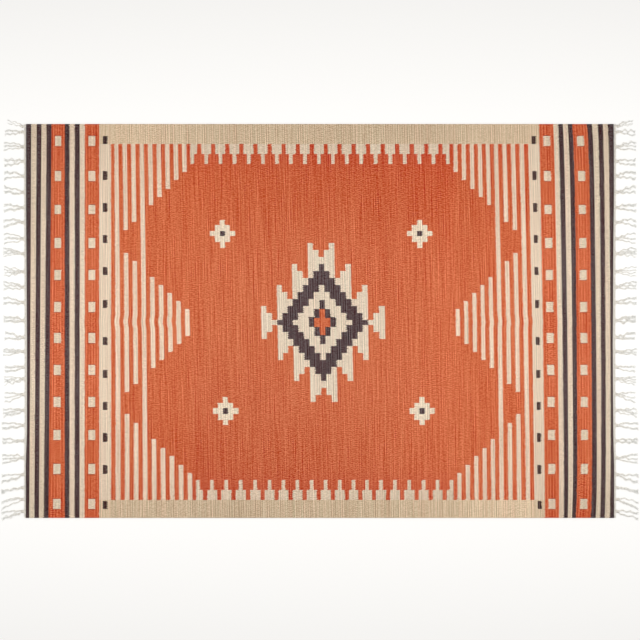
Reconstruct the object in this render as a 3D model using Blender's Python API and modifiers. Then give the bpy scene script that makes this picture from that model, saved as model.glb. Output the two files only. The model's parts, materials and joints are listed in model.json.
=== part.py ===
"""Kilim rug lying flat: one woven cloth and a knotted fringe at each short end.

+X runs along the rug, the way the warps go, +Y across it and +Z up.
The origin is on the floor, under the middle of the rug. Units are metres.
"""
import math
from collections import namedtuple

import bmesh
import bpy
from mathutils import Matrix

MM = 0.001

# Driving sizes
RUG_LENGTH = 1.800            # over the outer edges of the two headings
RUG_WIDTH = 1.200             # over the two selvedges
CLOTH_THICKNESS = 3.0 * MM
HEADING_WIDTH = 6.5 * MM      # undyed strip between the cloth and the fringe
HEADING_THICKNESS = 2.4 * MM
PIECE_GAP = 0.3 * MM          # between the cloth's end and the heading

# The soft crease along the mid-line, left by folding the rug in half
CREASE_Y = -2.0 * MM
CREASE_HEIGHT = 2.6 * MM
CREASE_HALF_WIDTH = 18.0 * MM
CREASE_PEAK_X = 0.520         # it stands highest this far either side of the middle
CREASE_SPREAD = 0.240         # and dies away over this length
CREASE_MIDDLE_SHARE = 0.45    # what is left of it at the middle
CREASE_END_X = 0.860          # and it is pressed flat beyond this

# Grid of the cloth: its rows crowd towards the crease
CLOTH_COLUMNS = 20
ROWS_EACH_SIDE = 16
ROW_CROWDING = 1.8

# How far each end of the cloth draws in from a straight line, by place across the rug
DrawIn = namedtuple("DrawIn", "y left right")
END_DRAW_IN = [
    DrawIn(-600 * MM, 0.0 * MM, 0.0 * MM),
    DrawIn(-440 * MM, 0.0 * MM, 0.5 * MM),
    DrawIn(-395 * MM, 1.4 * MM, 1.8 * MM),
    DrawIn(-340 * MM, 3.4 * MM, 3.0 * MM),
    DrawIn(-200 * MM, 3.6 * MM, 4.0 * MM),
    DrawIn(-60 * MM, 3.4 * MM, 4.6 * MM),
    DrawIn(90 * MM, 2.4 * MM, 3.3 * MM),
    DrawIn(270 * MM, 0.9 * MM, 2.1 * MM),
    DrawIn(370 * MM, 0.2 * MM, 0.6 * MM),
    DrawIn(600 * MM, 0.0 * MM, 0.0 * MM),
]
HEADING_FOLLOWS = 0.3         # share of the draw-in that the heading's outer edge takes up

# Fringe: each bunch of warp ends is knotted close to the heading
KNOT_LENGTH = 9.6 * MM        # along X
KNOT_WIDTH = 13.6 * MM        # along Y
KNOT_HEIGHT = 6.4 * MM
KNOT_FROM_HEADING = 6.2 * MM  # from the heading's edge to the knot's middle
KNOT_SIDES = 8
KNOT_RINGS = 4
GATHER_WIDTH = 24.0 * MM      # of the bunch where it leaves the heading
GATHER_AT_KNOT = 6.0 * MM
GATHER_THICKNESS = 1.6 * MM
GATHER_LIFT = 0.4 * MM
GATHER_OVERLAP = 1.8 * MM     # into the heading and into the knot

STRANDS = 5                   # in each bunch
STRAND_SIZE = 2.1 * MM        # square section, lying on one side
STRAND_PITCH = 2.5 * MM       # between neighbours inside the knot
STRAND_LEAVES_AT = 2.6 * MM   # height at which a strand leaves the knot's middle
STRAND_LANDS_AFTER = 13.0 * MM  # along X, from the knot's middle to the floor
STRAND_UNEVEN = 2.2 * MM      # how much the tips of one bunch differ
UNEVEN_BY_STRAND = 7.0        # radians of that wave across a bunch
UNEVEN_BY_PLACE = 33.0        # and for each metre across the rug

# One row for each bunch, from the far side (+Y) to the near side. The bow is how far
# the bunch swings sideways half way along.
Bunch = namedtuple("Bunch", "root tip spread reach bow")
BUNCHES = [
    Bunch(590 * MM, 599 * MM, 12 * MM, 52 * MM, 2 * MM),
    Bunch(576 * MM, 573 * MM, 14 * MM, 56 * MM, 0 * MM),
    Bunch(530 * MM, 532 * MM, 26 * MM, 59 * MM, 2 * MM),
    Bunch(486 * MM, 483 * MM, 20 * MM, 58 * MM, -1 * MM),
    Bunch(441 * MM, 442 * MM, 22 * MM, 58 * MM, 3 * MM),
    Bunch(392 * MM, 401 * MM, 20 * MM, 58 * MM, 0 * MM),
    Bunch(345 * MM, 344 * MM, 21 * MM, 60 * MM, 1 * MM),
    Bunch(300 * MM, 296 * MM, 20 * MM, 60 * MM, 4 * MM),
    Bunch(250 * MM, 250 * MM, 32 * MM, 59 * MM, 2 * MM),
    Bunch(205 * MM, 208 * MM, 26 * MM, 62 * MM, 3 * MM),
    Bunch(150 * MM, 151 * MM, 29 * MM, 60 * MM, 0 * MM),
    Bunch(103 * MM, 108 * MM, 25 * MM, 62 * MM, 2 * MM),
    Bunch(57 * MM, 61 * MM, 20 * MM, 62 * MM, 2 * MM),
    Bunch(1 * MM, 6 * MM, 17 * MM, 60 * MM, 1 * MM),
    Bunch(-50 * MM, -45 * MM, 20 * MM, 58 * MM, 0 * MM),
    Bunch(-93 * MM, -95 * MM, 18 * MM, 63 * MM, -1 * MM),
    Bunch(-141 * MM, -146 * MM, 17 * MM, 58 * MM, -2 * MM),
    Bunch(-176 * MM, -183 * MM, 25 * MM, 60 * MM, 0 * MM),
    Bunch(-224 * MM, -233 * MM, 29 * MM, 58 * MM, -1 * MM),
    Bunch(-272 * MM, -281 * MM, 24 * MM, 63 * MM, 1 * MM),
    Bunch(-318 * MM, -320 * MM, 20 * MM, 67 * MM, 1 * MM),
    Bunch(-365 * MM, -365 * MM, 13 * MM, 65 * MM, 0 * MM),
    Bunch(-417 * MM, -420 * MM, 27 * MM, 64 * MM, 0 * MM),
    Bunch(-468 * MM, -482 * MM, 23 * MM, 66 * MM, -1 * MM),
    Bunch(-508 * MM, -520 * MM, 15 * MM, 66 * MM, 1 * MM),
    Bunch(-543 * MM, -564 * MM, 22 * MM, 66 * MM, 3 * MM),
    Bunch(-580 * MM, -595 * MM, 20 * MM, 66 * MM, 1 * MM),
]

# Finish of each piece: base colour, roughness and metallic value
Finish = namedtuple("Finish", "name colour roughness metallic")
CLOTH_FINISH = Finish("dyed_wool", (0.62, 0.15, 0.07, 1.0), 0.92, 0.0)
YARN_FINISH = Finish("undyed_cotton", (0.80, 0.76, 0.68, 1.0), 0.90, 0.0)


def clear_scene():
    for obj in list(bpy.data.objects):
        bpy.data.objects.remove(obj, do_unlink=True)


def make_collection(name):
    collection = bpy.data.collections.new(name)
    bpy.context.scene.collection.children.link(collection)
    return collection


def make_material(finish):
    material = bpy.data.materials.new(finish.name)
    material.use_nodes = True
    shader = material.node_tree.nodes["Principled BSDF"]
    shader.inputs["Base Color"].default_value = finish.colour
    shader.inputs["Roughness"].default_value = finish.roughness
    shader.inputs["Metallic"].default_value = finish.metallic
    return material


def add_object(name, mesh, collection, material):
    obj = bpy.data.objects.new(name, mesh)
    obj.data.materials.clear()
    obj.data.materials.append(material)
    collection.objects.link(obj)
    return obj


def draw_in(y, side):
    """How far the cloth's end is drawn in at y; side is -1 for the left end, 1 for the right."""
    for below, above in zip(END_DRAW_IN, END_DRAW_IN[1:]):
        if y <= above.y:
            share = (y - below.y) / (above.y - below.y)
            low = below.left if side < 0 else below.right
            high = above.left if side < 0 else above.right
            return low + (high - low) * max(share, 0.0)
    return 0.0


def heading_edge(y, side):
    """Distance from the rug's middle to the heading's outer edge."""
    return RUG_LENGTH / 2 - HEADING_FOLLOWS * draw_in(y, side)


def cloth_end(y, side):
    """Distance from the rug's middle to the end of the woven cloth."""
    return RUG_LENGTH / 2 - HEADING_WIDTH - draw_in(y, side)


def row_place(share):
    """Place across the rug of a grid row; share runs from -1 to 1."""
    return math.copysign(abs(share) ** ROW_CROWDING, share) * RUG_WIDTH / 2


def crease_lift(x, y):
    """Height of the mid-line crease: a soft ridge that comes and goes along the rug."""
    across = abs(y - CREASE_Y) / CREASE_HALF_WIDTH
    if across >= 1.0 or abs(x) >= CREASE_END_X:
        return 0.0
    hump = math.exp(-((abs(x) - CREASE_PEAK_X) / CREASE_SPREAD) ** 2)
    along = max(hump, CREASE_MIDDLE_SHARE if abs(x) < CREASE_PEAK_X else 0.0)
    return CREASE_HEIGHT * along * 0.5 * (1.0 + math.cos(math.pi * across))


def grid_mesh(name, columns, place):
    """A flat grid whose corners run from -1 to 1, each point moved to place(u, v)."""
    grid = bmesh.new()
    bmesh.ops.create_grid(grid, x_segments=columns, y_segments=2 * ROWS_EACH_SIDE, size=1.0)
    for vert in grid.verts:
        vert.co = place(vert.co.x, vert.co.y)
    mesh = bpy.data.meshes.new(name)
    grid.to_mesh(mesh)
    grid.free()
    return mesh


def thicken(obj, thickness):
    """Give a sheet its thickness upwards, so that its underside stays where it is."""
    solidify = obj.modifiers.new("thickness", "SOLIDIFY")
    solidify.thickness = thickness
    solidify.offset = 1.0


def make_cloth(collection, material):
    def place(u, v):
        y = row_place(v)
        x = u * cloth_end(y, math.copysign(1, u))
        return x, y, crease_lift(x, y)

    cloth = add_object("woven_cloth", grid_mesh("woven_cloth", CLOTH_COLUMNS, place),
                       collection, material)
    thicken(cloth, CLOTH_THICKNESS)
    return cloth


def make_heading(name, side, collection, material):
    """The strip of bare warps and heading cord along one end of the cloth."""
    def place(u, v):
        y = row_place(v)
        inner = cloth_end(y, side) + PIECE_GAP
        outer = heading_edge(y, side)
        share = 0.5 * (1 + side * u)
        return side * (inner + (outer - inner) * share), y, 0.0

    heading = add_object(name, grid_mesh(name, 1, place), collection, material)
    thicken(heading, HEADING_THICKNESS)
    return heading


def add_knot(shapes, x, y):
    """A pressed round knot that stands on the floor."""
    size = Matrix.Diagonal((KNOT_LENGTH / 2, KNOT_WIDTH / 2, KNOT_HEIGHT / 2, 1.0))
    bmesh.ops.create_uvsphere(shapes, u_segments=KNOT_SIDES, v_segments=KNOT_RINGS, radius=1.0,
                              matrix=Matrix.Translation((x, y, KNOT_HEIGHT / 2)) @ size)


def add_gather(shapes, side, edge, y):
    """The bunch between the heading and its knot: wide at the heading, narrow at the knot."""
    start = edge - GATHER_OVERLAP
    end = edge + KNOT_FROM_HEADING - KNOT_LENGTH / 2 + GATHER_OVERLAP
    middle = Matrix.Translation((0.0, y, GATHER_LIFT + GATHER_THICKNESS / 2))
    block = bmesh.ops.create_cube(shapes, size=1.0, matrix=middle)
    for vert in block["verts"]:
        at_knot = vert.co.x > 0
        width = GATHER_AT_KNOT if at_knot else GATHER_WIDTH
        vert.co.x = side * (end if at_knot else start)
        vert.co.y = y + math.copysign(width / 2, vert.co.y - y)
        vert.co.z = (GATHER_LIFT + GATHER_THICKNESS / 2
                     + math.copysign(GATHER_THICKNESS / 2, vert.co.z - middle.translation.z))
    if side < 0:
        faces = {face for vert in block["verts"] for face in vert.link_faces}
        bmesh.ops.reverse_faces(shapes, faces=list(faces))


def strand_points(bunch, side, edge, fan):
    """Middle line of one strand; fan runs from -1 to 1 across the bunch."""
    knot_x = edge + KNOT_FROM_HEADING
    level = STRAND_SIZE / 2
    shorter = 0.5 * (1.0 + math.cos(UNEVEN_BY_STRAND * fan + UNEVEN_BY_PLACE * bunch.root))
    tip_x = edge + bunch.reach - STRAND_UNEVEN * shorter
    inside = fan * STRAND_PITCH * (STRANDS - 1) / 2
    length = tip_x - knot_x

    def sideways(share):
        drift = (bunch.tip - bunch.root) * share
        spread = inside + (fan * bunch.spread / 2 - inside) * share
        return bunch.root + drift + spread + bunch.bow * math.sin(math.pi * share)

    landing = STRAND_LANDS_AFTER / length
    shares = (landing, 0.5 * (1 + landing), 1.0) if bunch.bow else (landing, 1.0)
    points = [(side * knot_x, bunch.root + inside, STRAND_LEAVES_AT)]
    points += [(side * (knot_x + length * share), sideways(share), level) for share in shares]
    return points


def make_strands(name, side, collection):
    """All the strands of one end, as one curve of straight-sided splines."""
    curve = bpy.data.curves.new(name, "CURVE")
    curve.dimensions = "3D"
    curve.twist_mode = "Z_UP"
    curve.bevel_depth = STRAND_SIZE / math.sqrt(2)
    curve.bevel_resolution = 0
    curve.use_fill_caps = True
    for bunch in BUNCHES:
        edge = heading_edge(bunch.root, side)
        for strand in range(STRANDS):
            fan = 2.0 * strand / (STRANDS - 1) - 1.0
            points = strand_points(bunch, side, edge, fan)
            spline = curve.splines.new("POLY")
            spline.points.add(len(points) - 1)
            for point, place in zip(spline.points, points):
                point.co = (*place, 1.0)
                point.tilt = math.radians(45)
    obj = bpy.data.objects.new(name, curve)
    collection.objects.link(obj)
    return obj


def curve_to_mesh(obj, name):
    """The curve's evaluated tubes as a mesh with their caps welded on."""
    evaluated = obj.evaluated_get(bpy.context.evaluated_depsgraph_get())
    mesh = bpy.data.meshes.new_from_object(evaluated)
    mesh.name = name
    tubes = bmesh.new()
    tubes.from_mesh(mesh)
    bmesh.ops.remove_doubles(tubes, verts=tubes.verts, dist=0.00001)
    tubes.to_mesh(mesh)
    tubes.free()
    mesh.transform(obj.matrix_world)
    bpy.data.objects.remove(obj, do_unlink=True)
    return mesh


def make_bunches(name, side, collection, material):
    """Knots, gathers and strands of one end, still as separate shapes in one mesh."""
    strands = curve_to_mesh(make_strands(name + "_strands", side, collection), name)
    shapes = bmesh.new()
    shapes.from_mesh(strands)
    for bunch in BUNCHES:
        edge = heading_edge(bunch.root, side)
        add_knot(shapes, side * (edge + KNOT_FROM_HEADING), bunch.root)
        add_gather(shapes, side, edge, bunch.root)
    shapes.to_mesh(strands)
    shapes.free()
    bunches = add_object(name, strands, collection, material)
    bunches.hide_render = True
    bunches.display_type = "WIRE"
    return bunches


def make_fringe(name, side, rug, guides, material):
    heading = make_heading(name, side, rug, material)
    bunches = make_bunches(name + "_bunches", side, guides, material)
    union = heading.modifiers.new("bunches", "BOOLEAN")
    union.operation = "UNION"
    union.solver = "EXACT"
    union.use_self = True
    union.object = bunches
    return heading


def main():
    clear_scene()
    rug = make_collection("kilim_rug")
    guides = make_collection("joined_shapes")
    make_cloth(rug, make_material(CLOTH_FINISH))
    yarn = make_material(YARN_FINISH)
    make_fringe("fringe_left", -1, rug, guides, yarn)
    make_fringe("fringe_right", 1, rug, guides, yarn)


main()
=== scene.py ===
"""Kilim rug: the woven cloth, the heading cords, the knotted fringe and the stage.

+X runs along the rug, the way the warps go, +Y across it and +Z up. The origin is on the
floor, under the middle of the rug. Units are metres, and MM turns millimetres into them.
"""
import json
import math
import random
from collections import namedtuple

import bpy
import numpy as np
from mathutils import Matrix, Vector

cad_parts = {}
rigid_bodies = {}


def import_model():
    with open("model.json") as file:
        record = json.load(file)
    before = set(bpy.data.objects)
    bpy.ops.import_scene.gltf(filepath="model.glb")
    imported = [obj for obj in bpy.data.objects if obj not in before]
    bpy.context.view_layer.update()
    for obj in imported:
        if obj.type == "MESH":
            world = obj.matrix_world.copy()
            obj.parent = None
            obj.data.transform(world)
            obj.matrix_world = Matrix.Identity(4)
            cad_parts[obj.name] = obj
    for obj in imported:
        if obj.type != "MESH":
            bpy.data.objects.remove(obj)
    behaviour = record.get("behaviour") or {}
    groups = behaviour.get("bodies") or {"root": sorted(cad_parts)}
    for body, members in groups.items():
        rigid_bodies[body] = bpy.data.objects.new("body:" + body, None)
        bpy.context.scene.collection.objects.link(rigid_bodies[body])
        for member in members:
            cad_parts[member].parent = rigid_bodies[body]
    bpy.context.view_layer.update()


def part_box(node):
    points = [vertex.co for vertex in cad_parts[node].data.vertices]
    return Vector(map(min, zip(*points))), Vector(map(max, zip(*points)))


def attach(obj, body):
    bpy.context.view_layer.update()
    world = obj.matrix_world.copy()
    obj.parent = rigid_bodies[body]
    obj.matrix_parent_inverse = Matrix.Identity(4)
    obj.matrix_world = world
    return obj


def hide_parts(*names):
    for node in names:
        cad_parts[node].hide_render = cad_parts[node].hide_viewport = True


bl_info = {
    "name": "Kilim Rug",
    "version": (1, 0, 0),
    "blender": (4, 5, 0),
    "location": "3D View > Sidebar > Kilim",
    "description": "Weaves a flat kilim with heading cords and a knotted fringe",
    "category": "Add Mesh",
}

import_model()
CLOTH_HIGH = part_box("woven_cloth")[1]

MM = 0.001

# ---------------------------------------------------------------- sizes of the rug
SOLID_HEADING = 6.5 * MM       # between the end of the cloth's solid and the fringe
BEATEN_OVER = 2.0 * MM         # how far the last wefts are packed out over the heading
HEADING_OVERHANG = 1.0 * MM    # of the heading past its solid
HEADING_WIDTH = SOLID_HEADING - BEATEN_OVER + HEADING_OVERHANG
HALF_CLOTH = CLOTH_HIGH.x + BEATEN_OVER
HALF_LENGTH = HALF_CLOTH + HEADING_WIDTH
HALF_WIDTH = CLOTH_HIGH.y
PIECE_GAP = 0.3 * MM
HEADING_FOLLOWS = 0.3          # share of the draw-in that the heading's outer edge takes up

# How far each end of the cloth draws in from a straight line, in mm, by place across the rug
DrawIn = namedtuple("DrawIn", "y left right")
END_DRAW_IN = [DrawIn(*row) for row in (
    (-600, 0.0, 0.0),
    (-440, 0.0, 0.5),
    (-395, 1.4, 1.8),
    (-340, 3.4, 3.0),
    (-200, 3.6, 4.0),
    (-60, 3.4, 4.6),
    (90, 2.4, 3.3),
    (270, 0.9, 2.1),
    (370, 0.2, 0.6),
    (600, 0.0, 0.0),
)]

# The soft crease along the mid-line, left by folding the rug in half
CREASE_Y = -2.0 * MM
CREASE_HEIGHT = 2.6 * MM
CREASE_HALF_WIDTH = 18.0 * MM
CREASE_PEAK_X = 0.520
CREASE_SPREAD = 0.240
CREASE_MIDDLE_SHARE = 0.45
CREASE_END_X = 0.860

# How the beaten wefts wander, in mm, by place along the loom: each weft is shifted, leans
# from the far selvedge to the near one, bows at mid-width, kinks at the crease and turns
# away again at the rug's corners
Wander = namedtuple("Wander", "place shift lean bow kink corner", defaults=(0.0,))
WEFT_WANDER = [Wander(*row) for row in (
    (-900.0, 0.0, 0.0, 0.0, 0.0),
    (-882.0, 0.0, -6.5, 0.0, 0.0),
    (-823.0, 0.7, -9.0, 0.0, -0.3),
    (-778.0, 0.3, 0.0, 0.0, -0.3),
    (-719.0, 1.7, -1.0, 0.5, -0.6),
    (-674.5, 1.7, 0.0, 0.0, -0.6),
    (-640.0, 3.0, 0.0, 0.0, -0.9),
    (-621.0, 3.0, 7.0, 2.7, -2.4),
    (-464.0, 6.0, 18.0, 1.5, -2.4),
    (-412.0, 6.9, 21.0, 1.2, -0.3),
    (-300.0, 7.0, 21.0, 0.0, -0.3),
    (-190.0, 8.1, 25.0, 1.2, -0.3),
    (-135.0, 7.2, 23.8, 2.2, -0.3),
    (-95.0, 7.3, 23.8, 0.0, 0.0),
    (0.0, 7.3, 24.0, 0.0, 0.0),
    (60.0, 5.4, 26.0, 1.9, 0.0),
    (155.0, 3.4, 20.2, 3.7, 0.0),
    (190.0, 4.0, 18.5, 5.5, 0.3),
    (225.0, 4.4, 17.2, 3.6, 0.3),
    (300.0, 7.0, 16.0, 0.5, 0.3),
    (412.0, 6.6, 14.0, 1.5, 0.3),
    (470.0, 4.6, 17.0, 2.2, 0.8),
    (536.0, 1.2, 20.0, 3.0, 1.7),
    (621.0, 1.5, 22.5, 3.0, 1.7),
    (642.0, 3.0, 21.0, 3.0, 1.7),
    (676.0, 1.7, 18.0, 2.0, 0.6),
    (735.0, 1.8, 17.0, 2.4, 0.6, -2.0),
    (778.0, 0.4, 11.0, 3.0, 0.6, -5.0),
    (838.0, 1.0, 11.5, 1.8, 0.3, -5.0),
    (853.0, 0.1, 7.0, 2.4, 0.3, -3.5),
    (882.0, -0.3, 6.0, 2.7, 0.0, -2.5),
    (900.0, 0.0, 0.0, 0.0, 0.0),
)]
CORNER_POWER = 8               # how near to the selvedges the corners begin
WIDEST_COLUMN = 84 * MM        # of the cloth's mesh, between two rows of that table

# ---------------------------------------------------------------- the weaver's chart
# The chart is the same on all four quarters of the rug. Places along the warps are in mm
# from the mid-line, and places across them are counted in warps from the middle one.
WARPS = 394
MIDDLE_WARP = 198.45           # counted from the far selvedge
PITCH = 2 * HALF_WIDTH / WARPS  # from one warp to the next

# Stripes at both ends, from the field outwards: where each begins, and its yarn
Stripe = namedtuple("Stripe", "begins yarn")
STRIPES = [Stripe(*row) for row in (
    (639.6, "bone"),
    (674.5, "ember"),
    (718.7, "bone"),
    (733.7, "charcoal"),
    (748.5, "bone"),
    (764.0, "charcoal"),
    (777.9, "ember"),
    (823.0, "charcoal"),
    (837.6, "beige"),
    (852.7, "charcoal"),
    (867.0, "beige"),
    (882.3, "charcoal"),
)]
BLOCK_STRIPE_END = 674.5

# Small squares in the two orange stripes, and dark blocks in the bone one
SQUARE_PLACES = (696.8, 800.0)
SQUARE_HALF_WIDTH = 10.6
SQUARE_WARPS = (15.5, 47.2, 79.6, 112.9, 146.2, 181.4)
SQUARE_HALF_WARPS = 4.9
SLIT_SHADOW_DEPTH = 0.55              # of the painted shadow specks in the slits where a square's wefts turn back
SLIT_SHADOW_WARPS = 1.0
BLOCK_PLACE = 657.0
BLOCK_HALF_WIDTH = 6.6
BLOCK_WARPS = (18.5, 51.8, 83.3, 115.0, 147.0, 182.3)
BLOCK_HALF_WARPS = 4.1

# Khaki bands along the two long sides, with their row of stepped teeth
BAND_FROM = 178.0              # warps from the middle
TEETH_REACH = 393.6
TOOTH_PITCH = 43.1
SLOT_HALF_SHARE = 0.148        # of the pitch
TIP_HALF_SHARE = 0.127
SHOULDERS_FROM = 168.0
TIPS_FROM = 158.0

# Nine long bars on each side of the field; the numbered ones run right across
FIRST_BAR = 621.3
BAR_PITCH = 26.2
BAR_HALF_SHARE = 0.252
LAST_BAR = 8
WHOLE_BAR = 3
OUTER_BARS_FROM = 83.6         # warps from the middle, growing with each bar
OUTER_BARS_STEP = 8.35
MIDDLE_BARS_TO = 77.4          # shrinking with each bar
MIDDLE_BARS_STEP = 8.0

# Stepped medallion: its columns, and how many steps high each figure is on the mid-line
COLUMN = 16.37
STEP_WARPS = 6.95
HEART_STEP_WARPS = 8.5
FIN_STEPS = 9.385
FIN_COLUMNS = 11.5
FIN_WIDTH = 3.0                # columns from one fin to the next
FIN_DROP = 6.0                 # steps, against a climb of one step for each column
RING_STEPS = 8.385
INNER_STEPS = 5.385
HEART_STEPS = 2.588
CROSS_STEPS = 1.53

# Four small stars
STAR_PLACE = 299.8
STAR_WARP = 88.8
STAR_COLUMN = 15.4
STAR_STEP_WARPS = 5.6
STAR_STEPS = 2.5
STAR_HEART_STEPS = 0.5

# ---------------------------------------------------------------- fringe
# One row for each bunch of warp ends, in mm from the far side to the near side. The bow is
# how far the bunch swings sideways half way along, and the locks are how many it falls into.
Bunch = namedtuple("Bunch", "root tip spread reach bow locks")
BUNCHES = [Bunch(*row) for row in (
    (593, 606, 11, 49, 2, 2),
    (576, 573, 14, 56, 0, 2),
    (530, 532, 26, 59, 2, 3),
    (486, 483, 20, 58, -1, 2),
    (441, 442, 22, 58, 3, 2),
    (392, 401, 20, 58, 0, 2),
    (345, 344, 21, 60, 1, 2),
    (300, 296, 20, 60, 4, 2),
    (250, 250, 32, 59, 2, 3),
    (205, 208, 26, 62, 3, 4),
    (150, 151, 29, 60, 0, 4),
    (103, 108, 25, 62, 2, 3),
    (57, 61, 20, 62, 2, 2),
    (1, 6, 17, 60, 1, 2),
    (-50, -45, 20, 58, 0, 2),
    (-93, -95, 18, 63, -1, 3),
    (-141, -146, 17, 58, -2, 2),
    (-176, -183, 25, 60, 0, 4),
    (-224, -233, 29, 58, -1, 3),
    (-272, -281, 24, 63, 1, 3),
    (-318, -320, 20, 67, 1, 2),
    (-365, -365, 13, 65, 0, 2),
    (-417, -420, 27, 64, 0, 3),
    (-468, -482, 23, 66, -1, 2),
    (-508, -520, 15, 66, 1, 1),
    (-543, -564, 22, 66, 3, 2),
    (-580, -595, 20, 66, 1, 2),
)]
KNOT_FROM_HEADING = 6.2 * MM
SIDES = {"left": -1, "right": 1}


# ---------------------------------------------------------------- settings
STRONGEST = 4.0                # that a strength may be set to


def size_setting(name, description, default, least=0.0):
    return bpy.props.FloatProperty(
        name=name, description=description, default=default, min=least, unit="LENGTH")


def strength_setting(name, description, default):
    return bpy.props.FloatProperty(
        name=name, description=description, default=default, min=0.0, max=STRONGEST,
        subtype="FACTOR")


def colour_setting(name, description, *default):
    return bpy.props.FloatVectorProperty(
        name=name, description=description, default=default, min=0.0, max=1.0,
        subtype="COLOR")


class KilimCloth(bpy.types.PropertyGroup):
    """How the cloth is woven."""
    thickness: size_setting("Thickness", "Of the cloth, over the ribs", 3.0 * MM, 0.5 * MM)
    valley: size_setting(
        "Rib depth", "How deep the wefts sink between two warps", 0.45 * MM)
    bead: size_setting(
        "Stitch length", "Of one weft where it passes over a warp", 1.75 * MM, 0.2 * MM)
    bead_height: size_setting(
        "Stitch height", "How far each stitch stands proud of its neighbours", 0.3 * MM)
    streaks: strength_setting(
        "Streaks", "Strength of the long shade differences between wefts", 0.68)
    ridges: strength_setting(
        "Ridges", "Strength of the fine lines between passes of the yarn", 1.0)
    flecks: strength_setting(
        "Flecks", "Strength of the shade differences between stitches", 1.1)
    batches: strength_setting(
        "Batches", "Strength of the hue differences between dye batches", 1.0)


class KilimDyes(bpy.types.PropertyGroup):
    """Colours of the yarns."""
    orange: colour_setting("Orange", "Wool of the field", 0.588, 0.1375, 0.056)
    ember: colour_setting("Ember", "Wool of the orange stripes at the ends", 0.612, 0.1375, 0.056)
    khaki: colour_setting("Khaki", "Wool of the two long bands", 0.707, 0.535, 0.364)
    beige: colour_setting("Beige", "Wool of the outermost pale stripes", 0.709, 0.573, 0.425)
    cream: colour_setting("Cream", "Wool of the medallion", 0.702, 0.577, 0.440)
    bone: colour_setting(
        "Bone", "Wool of the pale stripes, the teeth and the squares", 0.758, 0.600, 0.449)
    ivory: colour_setting("Ivory", "Wool of the four stars", 0.782, 0.643, 0.484)
    blush: colour_setting("Blush", "Wool of the long bars", 0.784, 0.593, 0.445)
    charcoal: colour_setting("Charcoal", "Wool of the dark stripes and the ring",
                             0.086, 0.053, 0.054)
    # Umber also paints the shadow specks in the squares' slits
    umber: colour_setting("Umber", "Wool of the small dark blocks", 0.084, 0.049, 0.043)
    cotton: colour_setting("Cotton", "Undyed yarn at the tips of the fringe",
                           0.792, 0.788, 0.750)
    cord: colour_setting("Cord", "Undyed yarn at the headings and knots, a little yellowed",
                         0.780, 0.736, 0.660)


class KilimFringe(bpy.types.PropertyGroup):
    """The warp ends and the heading cords."""
    yarn: size_setting("Yarn", "Diameter of one warp end", 1.4 * MM, 0.3 * MM)
    cords: bpy.props.IntProperty(
        name="Heading cords", description="Twisted cords side by side in a heading",
        default=3, min=1)
    unevenness: size_setting(
        "Unevenness", "How much the tips of one bunch differ in length", 4.0 * MM)
    seed: bpy.props.IntProperty(
        name="Seed", description="Changes how the warp ends lie", default=7)


class KilimStage(bpy.types.PropertyGroup):
    """Floor, light and camera."""
    frame_width: size_setting(
        "Frame width", "Width that the camera takes in at the rug", 1.9493)
    lens: bpy.props.FloatProperty(
        name="Lens", description="Focal length in millimetres", default=85.0, unit="CAMERA")
    floor: colour_setting("Floor", "Colour of the floor", 0.958, 0.946, 0.925)
    sky: bpy.props.FloatProperty(
        name="Sky", description="Strength of the even light from all around", default=0.54)
    lamp: bpy.props.FloatProperty(
        name="Lamp", description="Power of the long lamp above the rug", default=47.7,
        unit="POWER")


class KilimSettings(bpy.types.PropertyGroup):
    """All the settings of the rug."""
    cloth: bpy.props.PointerProperty(type=KilimCloth)
    dyes: bpy.props.PointerProperty(type=KilimDyes)
    fringe: bpy.props.PointerProperty(type=KilimFringe)
    stage: bpy.props.PointerProperty(type=KilimStage)


# ---------------------------------------------------------------- shape of the rug
def column(table, name):
    return [getattr(row, name) * MM for row in table]


def draw_in(y, side):
    """How far the cloth's end is drawn in at y; side is -1 for the left end, 1 for the right."""
    return np.interp(y, column(END_DRAW_IN, "y"),
                     column(END_DRAW_IN, "left" if side < 0 else "right"))


def heading_edge(y, side):
    """Distance from the rug's middle to the heading's outer edge."""
    return HALF_LENGTH - HEADING_FOLLOWS * draw_in(y, side)


def cloth_end(y, side):
    """Distance from the rug's middle to the end of the woven cloth."""
    return HALF_CLOTH - draw_in(y, side)


def crease_lift(x, y):
    """Height of the mid-line crease: a soft ridge that comes and goes along the rug."""
    across = np.clip(np.abs(y - CREASE_Y) / CREASE_HALF_WIDTH, 0.0, 1.0)
    hump = np.exp(-((np.abs(x) - CREASE_PEAK_X) / CREASE_SPREAD) ** 2)
    floor = np.where(np.abs(x) < CREASE_PEAK_X, CREASE_MIDDLE_SHARE, 0.0)
    along = np.where(np.abs(x) < CREASE_END_X, np.maximum(hump, floor), 0.0)
    return CREASE_HEIGHT * along * 0.5 * (1.0 + np.cos(np.pi * across))


def wandered(place, y):
    """Where a weft that was beaten in at a place along the loom lies at y."""
    places = column(WEFT_WANDER, "place")
    shift, lean, bow, kink, corner = (np.interp(place, places, column(WEFT_WANDER, name))
                                      for name in Wander._fields[1:])
    share = y / (2 * HALF_WIDTH)
    at_crease = np.clip(1.0 - np.abs(y - CREASE_Y) / CREASE_HALF_WIDTH, 0.0, 1.0)
    return (place + shift - lean * share + bow * (1.0 - (2 * share) ** 2)
            + kink * np.sqrt(at_crease) + corner * (2 * share) ** CORNER_POWER)


def gathered(place, y):
    """Squeezes the last stripe where the end of the cloth is drawn in."""
    last_stripe = STRIPES[-1].begins * MM
    share = np.clip((np.abs(place) - last_stripe) / (HALF_CLOTH - last_stripe), 0.0, 1.0)
    return -np.sign(place) * share * np.where(place < 0, draw_in(y, -1), draw_in(y, 1))


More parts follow.
